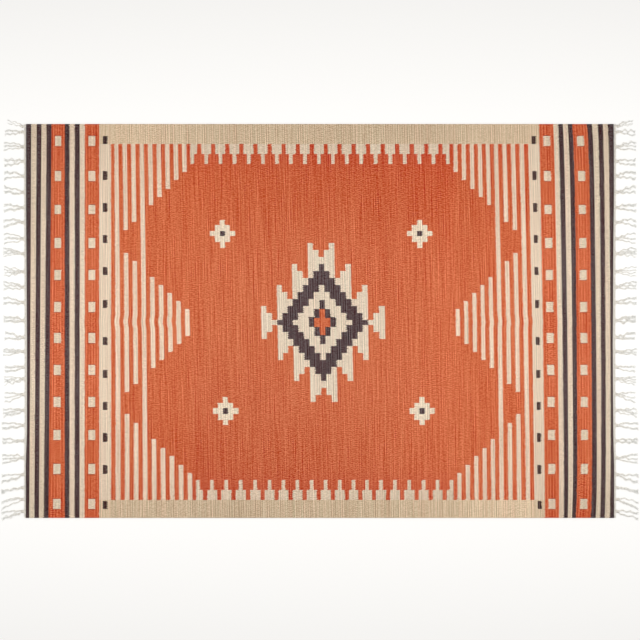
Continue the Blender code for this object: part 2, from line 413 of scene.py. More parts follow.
def loom_columns():
    """Places of the cloth's mesh columns: those of the wander table, and more between."""
    columns = [-HALF_CLOTH]
    for row in WEFT_WANDER[1:]:
        start = columns[-1]
        place = min(row.place * MM, HALF_CLOTH)
        parts = math.ceil((place - start) / WIDEST_COLUMN)
        columns += [start + (place - start) * part / parts for part in range(1, parts + 1)]
    return np.array(columns)


# ---------------------------------------------------------------- scene helpers
def deselect():
    for obj in bpy.context.view_layer.objects:
        obj.select_set(False)


def activate(*objects):
    deselect()
    for obj in objects:
        obj.select_set(True)
    bpy.context.view_layer.objects.active = objects[0]


def apply_modifier(obj, kind, **settings):
    activate(obj)
    modifier = obj.modifiers.new(kind.lower(), kind)
    for name, value in settings.items():
        setattr(modifier, name, value)
    bpy.ops.object.modifier_apply(modifier=modifier.name)


def read_points(mesh):
    points = np.empty(len(mesh.vertices) * 3)
    mesh.vertices.foreach_get("co", points)
    return points.reshape(-1, 3)


def write_points(mesh, points):
    mesh.vertices.foreach_set("co", np.ascontiguousarray(points).ravel())
    mesh.update()


def finish_piece(piece, node, material):
    """Smooth a piece and dye it, hang it on the root body, and hide the part that it stands for.
    """
    activate(piece)
    bpy.ops.object.shade_smooth()
    piece.data.materials.clear()
    piece.data.materials.append(material)
    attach(piece, "root")
    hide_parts(node)


# ---------------------------------------------------------------- readings of a material
FIBRE_SHINE = 0.2
NOISE_SPREAD = 7.0             # bring the two kinds of noise to a spread of about one
CHANCE_SPREAD = 3.46
UNDER_SOCKET = 6               # colour sockets of a Mix node
OVER_SOCKET = 7
MIXED_SOCKET = 2


class Reading:
    """A number that a material works out at each point. Sums of readings add Math nodes."""

    def __init__(self, tree, socket):
        self.tree = tree
        self.socket = socket

    def work(self, operation, *others):
        node = self.tree.nodes.new("ShaderNodeMath")
        node.operation = operation
        for slot, value in zip(node.inputs, (self, *others)):
            connect(self.tree, value, slot)
        return Reading(self.tree, node.outputs[0])

    def __add__(self, other):
        return self.work("ADD", other)

    __radd__ = __add__

    def __sub__(self, other):
        return self.work("SUBTRACT", other)

    def __rsub__(self, other):
        return (self * -1.0).work("ADD", other)

    def __mul__(self, other):
        return self.work("MULTIPLY", other)

    def __truediv__(self, number):
        return self.work("MULTIPLY", 1.0 / number)

    def size(self):
        return self.work("ABSOLUTE")

    def floor(self):
        return self.work("FLOOR")

    def nearest(self):
        return self.work("ROUND")

    def below(self, limit):
        return self.work("LESS_THAN", limit)

    def above(self, limit):
        return self.work("GREATER_THAN", limit)

    def within(self, reach, centre):
        """1 where the reading is no further than reach from the centre, else 0."""
        return self.work("COMPARE", centre, reach)

    def larger(self, other):
        return self.work("MAXIMUM", other)

    def smoothly(self, start, end):
        """Rises softly from 0 at the start to 1 at the end."""
        node = self.tree.nodes.new("ShaderNodeMapRange")
        node.interpolation_type = "SMOOTHSTEP"
        connect(self.tree, self, node.inputs["Value"])
        node.inputs["From Min"].default_value = start
        node.inputs["From Max"].default_value = end
        return Reading(self.tree, node.outputs[0])


def connect(tree, value, slot):
    """Feed a socket: from a reading, or from a plain number or colour."""
    if isinstance(value, Reading):
        tree.links.new(value.socket, slot)
    else:
        slot.default_value = value


def new_material(name, roughness, sheen):
    material = bpy.data.materials.new(name)
    material.use_nodes = True
    shader = material.node_tree.nodes["Principled BSDF"]
    shader.inputs["Roughness"].default_value = roughness
    shader.inputs["Sheen Weight"].default_value = sheen
    shader.inputs["Specular IOR Level"].default_value = FIBRE_SHINE
    return material, material.node_tree, shader


def map_readings(tree, name):
    """The two coordinates of a piece's own UV map."""
    source = tree.nodes.new("ShaderNodeUVMap")
    source.uv_map = name
    parts = tree.nodes.new("ShaderNodeSeparateXYZ")
    tree.links.new(source.outputs["UV"], parts.inputs[0])
    return Reading(tree, parts.outputs[0]), Reading(tree, parts.outputs[1])


def combine(tree, *values):
    """Two or three readings as one place or one colour."""
    node = tree.nodes.new("ShaderNodeCombineXYZ")
    for value, slot in zip(values, node.inputs):
        connect(tree, value, slot)
    return Reading(tree, node.outputs[0])


def cloudy(tree, place, scale=1.0, detail=0.0):
    """Soft noise around zero, with a spread of about one."""
    node = tree.nodes.new("ShaderNodeTexNoise")
    node.noise_dimensions = "2D"
    connect(tree, place, node.inputs["Vector"])
    node.inputs["Scale"].default_value = scale
    node.inputs["Detail"].default_value = detail
    return (Reading(tree, node.outputs["Fac"]) - 0.5) * NOISE_SPREAD


def chance(tree, place):
    """A number of its own for each place, around zero, with a spread of about one."""
    node = tree.nodes.new("ShaderNodeTexWhiteNoise")
    node.noise_dimensions = "2D"
    connect(tree, place, node.inputs["Vector"])
    return (Reading(tree, node.outputs["Value"]) - 0.5) * CHANCE_SPREAD


def dye(tree, under, colour, where):
    """Lay a yarn's colour over another one, where a reading is 1."""
    node = tree.nodes.new("ShaderNodeMix")
    node.data_type = "RGBA"
    connect(tree, where, node.inputs[0])
    connect(tree, under, node.inputs[UNDER_SOCKET])
    connect(tree, colour, node.inputs[OVER_SOCKET])
    return Reading(tree, node.outputs[MIXED_SOCKET])


def shade(tree, colour, lightness, added):
    """A colour made lighter or darker, with some pale or dark fibre added."""
    node = tree.nodes.new("ShaderNodeVectorMath")
    node.operation = "MULTIPLY_ADD"
    connect(tree, colour, node.inputs[0])
    connect(tree, lightness, node.inputs[1])
    connect(tree, added, node.inputs[2])
    return Reading(tree, node.outputs[0])


def redness(tree, colour):
    """How far a colour's red is above its blue."""
    parts = tree.nodes.new("ShaderNodeSeparateColor")
    connect(tree, colour, parts.inputs[0])
    return Reading(tree, parts.outputs[0]) - Reading(tree, parts.outputs[2])


def solid(colour):
    return (*colour, 1.0)


# ---------------------------------------------------------------- dyed wool
WOOL_ROUGHNESS = 0.92
WOOL_SHEEN = 0.12
ROUND_STITCH = 4.0             # makes a stitch's round profile reach its full height
ORANGE_REDNESS = 0.48          # only the orange yarns are redder than this
ROUNDING = 0.01                # keeps whole numbers from falling to the one below

# Darker towards the two long edges, in two soft steps; warps from the middle. This is partly
# deeper dye and partly painted shade
INNER_DYE_AND_SHADE = (50.0, 150.0)
OUTER_DYE_AND_SHADE = (140.0, 192.0)
INNER_DARKER = -0.05
OUTER_DARKER = -0.09
OUTER_LESS_GREEN = 0.15        # in the orange
BARS_FROM = (385.0, 430.0)     # mm from the middle
DYE_AND_SHADE_LOST_IN_BARS = -0.5

# The two bands are lighter towards the ends, and the near one also towards the right
BAND_LIGHTER = (250.0, 620.0)  # mm from the middle
BAND_RISE = 0.08
BAND_DARKER = 0.03
BAND_SLOPE = -0.05             # for each metre along the far band
NEAR_BAND_SLOPE = 0.20         # on top of the far one's

# Painted sheen and shade over the orange field, by place in metres: even, along it, across it,
# towards two of its corners, and towards its ends and edges
SheenDrift = namedtuple("SheenDrift", "even along across corners ends edges")
PAINTED_SHEEN_LIGHTNESS = SheenDrift(-0.022, 0.05, 0.0, -0.26, 0.26, 0.12)
PAINTED_SHEEN_GREEN = SheenDrift(0.02, -0.025, -0.12, -0.31, -0.15, -0.32)
PAINTED_SHEEN_BLUE = SheenDrift(0.01, -0.025, -0.20, -0.31, -0.32, 0.10)
PAINTED_SHEEN_IN_BARS = 0.4

# Strength of the light and dark lines between passes. They show most in the two bands, in
# the pale and dark figures around the middle and in the orange stripes at the ends. In all
# the stripes past the dark blocks they stand further apart.
LINED_TO = 345.0               # mm from the middle
FIELD_RIDGE = 0.6
END_RIDGE = 0.8                # on top of the field's
PLAIN_RIDGE = 0.4
LINED_RIDGE = 1.1              # on top of the plain one
BAND_RIDGE = 0.9
BLOCK_RIDGE = 0.5
END_RIDGE_STITCHES = 4.87      # from one light line to the next
RIDGE_UNEVEN = 0.6

# How fast the noises change, for each pass of the yarn and for each warp
Change = namedtuple("Change", "passes warps")
RIDGE_CHANGE = Change(0.33, 0.045)
STREAK_CHANGE = Change(5.77, 0.017)
BATCH_CHANGE = Change(3.31, 0.011)
BATCH_SHIFT = 40.0             # sets the batches apart from the streaks
SLIT_SHADOW_SHIFT = (0.5, 0.25)      # sets the painted slit shadow specks apart from the other chances
ODD_SHIFT = 0.37               # sets the odd warps' flecks apart from the even ones'
FLECK_CONTRAST = 0.5           # of a stitch against the one beside it

# The plain stripes are more even than the field, and most of all the one with dark blocks
END_TONE = 0.8                 # of the field's
END_FLECKS = 1.2
BLOCK_FLECKS = 0.55

# Each pass of the yarn covers every second warp, so upright edges are saw-toothed
SAW_TOOTH = 1.4                # mm
SAW_JITTER = 0.25
JITTER_STITCHES = 12.5         # that are shifted together

# What the tone of a stitch does to its lightness, and how much pale fibre shows in it
TONE_LIGHTNESS = 0.06
TONE_FIBRE = 0.016
# Less pale fibre towards the long edges and by the bars: a painted sheen, brighter over the
# middle of the rug
EDGE_SHEEN_LOSS = 0.012
BARS_SHEEN_LOSS = 0.004
RED_FIBRE = 0.002
ORANGE_FIBRE = 0.004
BATCH_HUE = 0.03


def stripe_colour(tree, place, dyes):
    """The field's orange and the stripes at the ends, by place along the rug in mm."""
    number = place.above(STRIPES[0].begins)
    for stripe in STRIPES[1:]:
        number = number + place.above(stripe.begins)
    ramp = tree.nodes.new("ShaderNodeValToRGB")
    ramp.color_ramp.interpolation = "CONSTANT"
    yarns = ["orange"] + [stripe.yarn for stripe in STRIPES]
    stops = ramp.color_ramp.elements
    stops[1].position = 1.0
    for index, yarn in enumerate(yarns):
        stop = stops[0] if index == 0 else stops.new(index / len(yarns))
        stop.color = solid(getattr(dyes, yarn))
    stops[len(yarns)].color = solid(getattr(dyes, yarns[-1]))
    connect(tree, (number + 0.5) / len(yarns), ramp.inputs[0])
    return Reading(tree, ramp.outputs[0])


def in_rows(warp, rows, reach):
    """1 in any of the rows of a motif that is repeated across the rug."""
    total = warp.within(reach, rows[0])
    for row in rows[1:]:
        total = total + warp.within(reach, row)
    return total


def bars(place, warp):
    """The long bars on both sides of the field."""
    count = (FIRST_BAR - place) / BAR_PITCH
    bar = count.nearest()
    in_group = count.within(LAST_BAR / 2 + 0.5, LAST_BAR / 2)
    on_bar = count.within(BAR_HALF_SHARE, bar) * in_group
    outer = (warp - bar * OUTER_BARS_STEP).above(OUTER_BARS_FROM)
    middle = (warp + bar * MIDDLE_BARS_STEP).below(MIDDLE_BARS_TO)
    whole = bar.within(0.5, 0.0).larger(bar.within(0.5, WHOLE_BAR))
    return on_bar * outer.larger(middle).larger(whole)


def teeth(place, warp):
    """Stepped teeth along the khaki bands, with narrow slots between them."""
    count = place / TOOTH_PITCH
    off_centre = (count - count.nearest()).size()
    shoulder = off_centre.below(0.5 - SLOT_HALF_SHARE) * warp.above(SHOULDERS_FROM)
    tip = off_centre.below(TIP_HALF_SHARE) * warp.above(TIPS_FROM)
    return shoulder.larger(tip) * place.below(TEETH_REACH)


def fins(number, warp):
    """Pale stepped fins around the medallion."""
    height = number - (number / FIN_WIDTH + ROUNDING).floor() * FIN_DROP + FIN_STEPS
    return (warp / STEP_WARPS - height).below(0.0) * number.below(FIN_COLUMNS)


def diamond(number, warp, step, steps):
    """A stepped diamond: each column is one step lower than the one before."""
    return (warp / step + number).below(steps)


def chart_colour(tree, place, warp, slit_shadow_speck, dyes):
    """The colour of the chart at a place in mm and a warp, both counted from the middle."""
    inner_square, outer_square = (place.within(SQUARE_HALF_WIDTH, square)
                                  for square in SQUARE_PLACES)
    on_square = inner_square.larger(outer_square)
    slits = on_square * in_rows(warp, SQUARE_WARPS, SQUARE_HALF_WARPS + SLIT_SHADOW_WARPS)
    squares = in_rows(warp, SQUARE_WARPS, SQUARE_HALF_WARPS)
    in_blocks = place.within(BLOCK_HALF_WIDTH, BLOCK_PLACE)
    in_field = warp.below(BAND_FROM)

    star_column = ((place - STAR_PLACE).size() / STAR_COLUMN).nearest()
    star_warp = (warp - STAR_WARP).size()
    star_heart = diamond(star_column, star_warp, STAR_STEP_WARPS, STAR_HEART_STEPS)
    number = (place / COLUMN).nearest()
    ring = diamond(number, warp, STEP_WARPS, RING_STEPS)

    # Each yarn is laid over the ones before it
    layers = (
        ("khaki", warp.above(BAND_FROM) * place.below(BLOCK_STRIPE_END)),
        # Painted shadow specks in the slits at a square's upper and lower edges
        ("umber", slits * slit_shadow_speck.above(0.0) * SLIT_SHADOW_DEPTH),
        ("bone", inner_square * squares),
        ("beige", outer_square * squares),
        ("umber", in_blocks * in_rows(warp, BLOCK_WARPS, BLOCK_HALF_WARPS)),
        ("blush", bars(place, warp) * in_field),
        ("bone", teeth(place, warp) * in_field),
        ("ivory", diamond(star_column, star_warp, STAR_STEP_WARPS, STAR_STEPS)),
        ("cream", fins(number, warp)),
        ("charcoal", ring.larger(star_heart)),
        ("cream", diamond(number, warp, STEP_WARPS, INNER_STEPS)),
        ("charcoal", diamond(number, warp, HEART_STEP_WARPS, HEART_STEPS)),
        ("orange", diamond(number, warp, HEART_STEP_WARPS, CROSS_STEPS)),
    )
    colour = stripe_colour(tree, place, dyes)
    for yarn, where in layers:
        colour = dye(tree, colour, solid(getattr(dyes, yarn)), where)
    return colour


def painted_sheen_at(drift, along, across):
    """How much painted sheen and shade lighten or darken a share of the colour at a place."""
    return (along * (drift.along + across * drift.corners + along * drift.ends)
            + across * (drift.across + across * drift.edges) + drift.even)


Spot = namedtuple(
    "Spot", "along across count stitch odd warp place from_middle both_ways lane")
Zones = namedtuple("Zones", "orange at_end past_blocks by_blocks on_band in_bars")


def read_spot(tree, bead):
    """Which stitch of which warp covers a point, and where it stands in the chart."""
    along, across = map_readings(tree, "loom")
    warp = ((HALF_WIDTH - across) / PITCH).floor()
    odd = warp.work("FLOORED_MODULO", 2.0)
    count = along / bead + odd * 0.5
    stitch = count.floor()
    middle = (stitch + 0.5 - odd * 0.5) * (bead / MM)
    uneven = chance(tree, combine(tree, warp, (stitch / JITTER_STITCHES).floor()))
    place = (middle + (odd - 0.5) * SAW_TOOTH + uneven * SAW_JITTER).size()
    from_middle = (warp + (0.5 - MIDDLE_WARP)).size()
    both_ways = (stitch * 0.5 + ROUNDING).floor()
    lane = both_ways * 2.0 - odd
    return Spot(along, across, count, stitch, odd, warp, place, from_middle, both_ways, lane)


def read_zones(tree, spot, colour):
    """Which part of the design a stitch belongs to."""
    at_end = spot.place.above(STRIPES[0].begins)
    past_blocks = spot.place.above(BLOCK_STRIPE_END)
    return Zones(
        orange=redness(tree, colour).above(ORANGE_REDNESS), at_end=at_end,
        past_blocks=past_blocks, by_blocks=at_end - past_blocks,
        on_band=spot.from_middle.above(BAND_FROM) * (1.0 - at_end),
        in_bars=spot.place.smoothly(*BARS_FROM))


def changing(tree, change, passes, warp, shift=0.0):
    """Soft noise that changes from pass to pass and slowly from warp to warp."""
    return cloudy(tree, combine(tree, passes * change.passes, warp * change.warps + shift))


def stitch_tone(tree, spot, zones, cloth):
    """How light or dark a stitch is: fine lines, long streaks and single flecks.

    Two stitches side by side come from one pass of the yarn to and fro. The passes are
    lighter and darker by turns, and the odd warps show other passes than the even ones.
    """
    turn = spot.both_ways.work("FLOORED_MODULO", 2.0) * 2.0 - 1.0
    slow_turn = (spot.stitch * (2 * math.pi / END_RIDGE_STITCHES)).work("SINE")
    turn = turn + zones.past_blocks * (slow_turn - turn)
    lined = spot.place.below(LINED_TO) * spot.from_middle.below(TIPS_FROM)
    orange_ridge = zones.at_end * END_RIDGE + FIELD_RIDGE
    other_ridge = (lined * LINED_RIDGE + zones.on_band * BAND_RIDGE
                   + zones.by_blocks * BLOCK_RIDGE + PLAIN_RIDGE)
    evenness = zones.orange * orange_ridge + (1.0 - zones.orange) * other_ridge
    unevenness = changing(tree, RIDGE_CHANGE, spot.both_ways, spot.warp) * RIDGE_UNEVEN
    ridge = (unevenness + evenness) * turn
    streak = changing(tree, STREAK_CHANGE, spot.lane, spot.warp)
    here = combine(tree, spot.both_ways + spot.odd * ODD_SHIFT, spot.warp)
    beside = combine(tree, spot.both_ways + (1.0 - spot.odd) * ODD_SHIFT, spot.warp + 1.0)
    fleck = chance(tree, here) - chance(tree, beside) * FLECK_CONTRAST

    plain_end = zones.past_blocks * (1.0 - zones.orange)
    calm = zones.by_blocks * (BLOCK_FLECKS - 1.0) + 1.0
    flecked = plain_end * (END_FLECKS - 1.0) + calm
    tone = (ridge * cloth.ridges + streak * calm * cloth.streaks
            + fleck * flecked * cloth.flecks)
    return tone * (plain_end * (END_TONE - 1.0) + 1.0)


def shade_stitches(tree, colour, spot, zones, cloth):
    """The chart's colour with the tone of each stitch, the darker edges of deeper dye and painted
    shade, painted sheen over the field and dye batches.
    """
    tone = stitch_tone(tree, spot, zones, cloth)

    # The edges' deeper dye and painted shade are weaker beside the bars
    in_bars = zones.in_bars
    inner = spot.from_middle.smoothly(*INNER_DYE_AND_SHADE) * (in_bars * DYE_AND_SHADE_LOST_IN_BARS + 1.0)
    outer = (spot.from_middle.smoothly(*OUTER_DYE_AND_SHADE)
             * ((1.0 - zones.on_band) * in_bars * DYE_AND_SHADE_LOST_IN_BARS + 1.0))
    near = spot.across.below(0.0)
    band_light = (spot.place.smoothly(*BAND_LIGHTER) * BAND_RISE - BAND_DARKER
                  + spot.along * (near * NEAR_BAND_SLOPE + BAND_SLOPE)) * zones.on_band
    # Painted sheen and shade over the open orange field, weaker beside the bars
    painted_sheen_field = (zones.orange * (1.0 - zones.at_end)
                  * (in_bars * (PAINTED_SHEEN_IN_BARS - 1.0) + 1.0))
    lighter, greener, bluer = (painted_sheen_at(drift, spot.along, spot.across) * painted_sheen_field
                               for drift in (PAINTED_SHEEN_LIGHTNESS, PAINTED_SHEEN_GREEN, PAINTED_SHEEN_BLUE))
    lightness = ((tone * TONE_LIGHTNESS + 1.0) * (inner * INNER_DARKER + 1.0)
                 * (outer * OUTER_DARKER + 1.0) * (band_light + 1.0) * (lighter + 1.0))
    batch = changing(tree, BATCH_CHANGE, spot.lane, spot.warp, BATCH_SHIFT)
    batch = batch * cloth.batches * BATCH_HUE + 1.0
    less_green = zones.orange * outer * OUTER_LESS_GREEN
    shades = combine(tree, lightness, lightness * (batch + greener - less_green),
                     lightness * (batch + bluer))
    # Pale fibre follows each stitch's tone; with less of it towards the edges and by the bars it
    # paints a sheen over the middle
    fibre = tone * TONE_FIBRE - (inner + outer) * EDGE_SHEEN_LOSS - in_bars * BARS_SHEEN_LOSS
    orange_fibre = tone * zones.orange * ORANGE_FIBRE
    fibres = combine(tree, fibre - tone * RED_FIBRE, fibre + orange_fibre,
                     fibre - orange_fibre)
    return shade(tree, colour, shades, fibres)


def raise_bump(tree, shader, height, distance):
    bump = tree.nodes.new("ShaderNodeBump")
    bump.inputs["Distance"].default_value = distance
    connect(tree, height, bump.inputs["Height"])
    tree.links.new(bump.outputs["Normal"], shader.inputs["Normal"])


def make_wool(settings):
    """Dyed wool wefts packed over the warps, one stitch at a time."""
    cloth = settings.cloth
    material, tree, shader = new_material("dyed_wool_wefts", WOOL_ROUGHNESS, WOOL_SHEEN)
    spot = read_spot(tree, cloth.bead)
    # Chances for the painted shadow specks in the squares' slits
    shift_along, shift_across = SLIT_SHADOW_SHIFT
    slit_shadow_speck = chance(tree, combine(tree, spot.stitch + shift_along, spot.warp + shift_across))
    colour = chart_colour(tree, spot.place, spot.from_middle, slit_shadow_speck, settings.dyes)
    zones = read_zones(tree, spot, colour)
    colour = shade_stitches(tree, colour, spot, zones, cloth)
    connect(tree, colour, shader.inputs["Base Color"])
    part = spot.count.work("FRACT")
    raise_bump(tree, shader, part * (1.0 - part) * ROUND_STITCH, cloth.bead_height)
    return material


# ---------------------------------------------------------------- undyed cotton
PATCHES_PER_METRE = 200.0      # of slightly darker and lighter cotton
PLY_DEPTH = 0.13 * MM          # of the grooves between the plies
COTTON_ROUGHNESS = 0.9
COTTON_SHEEN = 0.1
PLIES = 2.0
FIBRES_AROUND = 3.0
FIBRES_IN_A_TURN = 4.0
# Painted shade: the plies are lighter on their crests and darker in their grooves, following
# their bump
PAINTED_PLY_SHADE = 0.03
PATCH_SHADE = 0.07
FIBRE_RELIEF = 0.3             # of the plies' relief
CORD_TURNS = 300.0             # of the plies, in the length of each piece's line
YARN_TURNS = 14.0
WRAP_TURNS = 8.0


def make_cotton(name, undyed, turns, at_tip=None):
    """Plied cotton; turns is how often the plies go round in the length of the piece."""
    material, tree, shader = new_material(name, COTTON_ROUGHNESS, COTTON_SHEEN)
    along, around = map_readings(tree, "yarn")
    ply = ((around * PLIES + along * turns) * (2 * math.pi)).work("SINE")
    fibres = combine(tree, around * FIBRES_AROUND, along * turns * FIBRES_IN_A_TURN)
    fibre = cloudy(tree, fibres, detail=2.0)
    where = Reading(tree, tree.nodes.new("ShaderNodeTexCoord").outputs["Object"])
    patch = cloudy(tree, where, PATCHES_PER_METRE, detail=1.0)
    if at_tip is None:
        colour = tuple(undyed)
    else:
        colour = dye(tree, solid(undyed), solid(at_tip), along)
    # The plies' and fibres' bump also lightens and darkens the colour: painted shade in the
    # grooves
    lightness = (ply + fibre) * PAINTED_PLY_SHADE + patch * PATCH_SHADE + 1.0
    connect(tree, shade(tree, colour, lightness, (0.0, 0.0, 0.0)), shader.inputs["Base Color"])
    raise_bump(tree, shader, ply + fibre * FIBRE_RELIEF, PLY_DEPTH)
    return material


# ---------------------------------------------------------------- the cloth
SAMPLES_PER_RIB = 3
CREST_STARTS = 0.28            # share of a rib from its valley to its crest
AT_VALLEY = 0.01               # share of a rib
SELVEDGE_SINKS = 0.38          # share of the cloth's thickness


def weave_cloth(settings):
    """A thin ribbed sheet, one rib for each warp, that lies on its solid's crease."""
    thickness = settings.cloth.thickness
    columns = loom_columns()
    rows = WARPS * SAMPLES_PER_RIB + 1
    deselect()
    bpy.ops.mesh.primitive_grid_add(
        x_subdivisions=len(columns) - 1, y_subdivisions=rows - 1, size=2.0)
    cloth = bpy.context.active_object
    cloth.name = cloth.data.name = "kilim_cloth"
    sheet = read_points(cloth.data)
    at_column = np.rint((sheet[:, 0] + 1) / 2 * (len(columns) - 1)).astype(int)
    at_row = np.rint((1 - sheet[:, 1]) / 2 * (rows - 1)).astype(int)

    sample = at_row % SAMPLES_PER_RIB
    offset = np.choose(sample, (0.0, CREST_STARTS, 1.0 - CREST_STARTS))
    sheet[:, 0] = columns[at_column]
    sheet[:, 1] = HALF_WIDTH - (at_row // SAMPLES_PER_RIB + offset) * PITCH
    write_points(cloth.data, sheet)
    lay_loom_map(cloth.data, sheet)

    apply_modifier(cloth, "SOLIDIFY", thickness=thickness, offset=0.0)
    faces = read_points(cloth.data)
    place, y, upper = faces[:, 0].copy(), faces[:, 1].copy(), faces[:, 2] > 0
    from_far = (HALF_WIDTH - y) / PITCH
    in_valley = np.abs(from_far - np.rint(from_far)) < AT_VALLEY
    at_selvedge = np.abs(y) > HALF_WIDTH - AT_VALLEY * PITCH
    depth = np.where(in_valley, settings.cloth.valley, 0.0)
    depth = np.where(at_selvedge, SELVEDGE_SINKS * thickness, depth)
    faces[:, 0] = wandered(place, y) + gathered(place, y)
    faces[:, 2] = np.where(upper, thickness - depth, depth) + crease_lift(faces[:, 0], y)
    write_points(cloth.data, faces)
    finish_piece(cloth, "woven_cloth", make_wool(settings))


def lay_loom_map(mesh, sheet):
    """The cloth's own map: its straight places on the loom, in metres."""
    for layer in list(mesh.uv_layers):
        mesh.uv_layers.remove(layer)
    loom = mesh.uv_layers.new(name="loom")
    corners = np.empty(len(mesh.loops), dtype=np.int32)
    mesh.loops.foreach_get("vertex_index", corners)
    loom.data.foreach_set("uv", np.ascontiguousarray(sheet[corners, :2]).ravel())


# ---------------------------------------------------------------- the heading cords
CORD_LOBES = 2
CORD_SIDES = 10
TURN_SAMPLES = 8
WAIST = 0.72                   # of a cord's reach, between its two plies
CORD_OVERLAP = 1.1
CORD_HEIGHT = 0.95             # of the cloth's thickness
CORD_END = 0.6 * MM            # from the selvedge

# Fineness of round and bending yarns
ROUND_STEPS = 1
BEND_ORDER = 3
BEND_STEPS = 2


def lobed_section(name, radius):
    """Closed outline of a two-ply cord: two plies pressed together.

    It runs clockwise, because the faces of a tube made with it then point outwards.
    """
    outline = bpy.data.curves.new(name, "CURVE")
    outline.dimensions = "2D"
    spline = outline.splines.new("POLY")
    spline.points.add(CORD_SIDES - 1)
    for index, point in enumerate(spline.points):
        angle = -2 * math.pi * index / CORD_SIDES
        lobe = (1.0 + math.cos(CORD_LOBES * angle)) / 2
        reach = radius * (WAIST + (1.0 - WAIST) * lobe)
        point.co = (reach * math.cos(angle), reach * math.sin(angle), 0.0, 1.0)
    spline.use_cyclic_u = True
    section = bpy.data.objects.new(name, outline)
    bpy.context.scene.collection.objects.link(section)
    return section


def curve_piece(name, lines, tilts=None, radii=None, section=None, round_size=0.0,
                smooth=False, closed=False):
    """A mesh of tubes, one along each line of points, or one ring along each closed line."""
    curve = bpy.data.curves.new(name, "CURVE")
    curve.dimensions = "3D"
    curve.twist_mode = "Z_UP"
    curve.use_fill_caps = True
    if section:
        curve.bevel_mode = "OBJECT"
        curve.bevel_object = section
    else:
        curve.bevel_depth = round_size
        curve.bevel_resolution = ROUND_STEPS
    for index, line in enumerate(lines):
        spline = curve.splines.new("NURBS" if smooth else "POLY")
        spline.points.add(len(line) - 1)
        spline.points.foreach_set("co", [number for point in line for number in (*point, 1.0)])
        if tilts:
            spline.points.foreach_set("tilt", tilts[index])
        if radii:
            spline.points.foreach_set("radius", radii[index])
        spline.use_cyclic_u = closed
        if smooth:
            spline.use_endpoint_u = True
            spline.order_u = BEND_ORDER
            spline.resolution_u = BEND_STEPS
    piece = bpy.data.objects.new(name, curve)
    bpy.context.scene.collection.objects.link(piece)
    activate(piece)
    bpy.ops.object.convert(target="MESH")
    piece.data.name = name
    piece.data.uv_layers[0].name = "yarn"
    if section:
        bpy.data.objects.remove(section, do_unlink=True)
    return piece


def press_heading(heading, side, settings):
    """Makes the cords as high as the cloth beside them, however wide they lie."""
    points = read_points(heading.data)
    y = points[:, 1]
    width = (heading_edge(y, side) - cloth_end(y, side) - PIECE_GAP) / settings.fringe.cords
    points[:, 2] *= settings.cloth.thickness * CORD_HEIGHT / (CORD_OVERLAP * width)
    write_points(heading.data, points)


def twist_heading(name, node, settings):
    """Undyed cords, each a two-ply twist with one ply over every warp."""
    side = SIDES[name]
    cords = settings.fringe.cords
    step = CORD_LOBES * PITCH / TURN_SAMPLES
    samples = round(2 * HALF_WIDTH / step)
    nominal = HEADING_WIDTH / cords
    section = lobed_section("cord_section", nominal / 2)
    lines, tilts, radii = [], [], []
    for cord in range(cords):
        line, tilt, radius = [], [], []
        for index in range(samples + 1):
            y = (HALF_WIDTH - CORD_END) * (1.0 - 2.0 * index / samples)
            inner = cloth_end(y, side) + PIECE_GAP
            width = (heading_edge(y, side) - inner) / cords
            height = CORD_OVERLAP * width / 2
            line.append((side * (inner + (cord + 0.5) * width), y, height))
            tilt.append(2 * math.pi * index / TURN_SAMPLES * (1 if cord % 2 else -1))
            radius.append(CORD_OVERLAP * width / nominal)
        lines.append(line)
        tilts.append(tilt)
        radii.append(radius)
    heading = curve_piece("heading_" + name, lines, tilts, radii, section=section)
    press_heading(heading, side, settings)
    finish_piece(heading, node,
                 make_cotton("undyed_cotton_cord", settings.dyes.cord, CORD_TURNS))


# ---------------------------------------------------------------- the fringe
KNOT_LENGTH = 7.0 * MM
KNOT_HEIGHT = 6.0 * MM
PACKED_WIDTH = 2.6 * MM        # half of the bunch's width inside its knot
PACKED_HEIGHT = 1.0 * MM
OUT_OF_HEADING = 0.8 * MM      # height at which the warp ends leave the heading's cords
PACKED_BY_LOCK = 0.6           # how far a warp end's place in a knot follows its lock
AT_KNOT = 0.8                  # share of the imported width, at the middle of a knot

# Where the warp ends draw together, from the heading's outer edge, and how far apart they
# still are there as a share of their places in the heading
Gather = namedtuple("Gather", "out apart")
GATHERS = (Gather(-3.2 * MM, 1.0), Gather(-0.8 * MM, 0.50), Gather(1.2 * MM, 0.20))

# A lock is some warp ends that lie together, turned round each other
LOCK_STATIONS = 15             # points along a warp end, from the knot to the tip
LOCK_TURNS = 2.5
OPENINGS = (0.35, 0.9)         # a small number opens the locks close to the knot
SWAY = 2.0 * MM
RIPPLE = 1.7 * MM
RIPPLE_SHARES = (0.5, 1.4)
RIPPLE_WAVES = (13.0, 20.0)    # radians from the knot to the tip
LOOSE = 1.2 * MM               # how far a warp end strays from its lock
STRAY = 6.0 * MM               # and how far one in STRAYS of them does
STRAYS = 4
PRESSED = 0.6                  # a lock's height as a share of its width
FRAYED_FROM = 0.78             # share of the length at which the tips begin to part
FRAY = 1.8
FRAYED_TIP = [0.95, 0.5]       # of the yarn's diameter, at the last points
TIP_WISP = 4.8 * MM            # of loose fibre past the measured end of a bunch


def warp_places():
    return [HALF_WIDTH - (warp + 0.5) * PITCH for warp in range(WARPS)]


def share_out_warps():
    """The warp ends of each bunch: every end goes to the nearest root."""
    bundles = [[] for _ in BUNCHES]
    for y in warp_places():
        nearest = min(range(len(BUNCHES)), key=lambda index: abs(BUNCHES[index].root * MM - y))
        bundles[nearest].append(y)
    return bundles


Lock = namedtuple("Lock", "fan opening sway ripple waves phase")


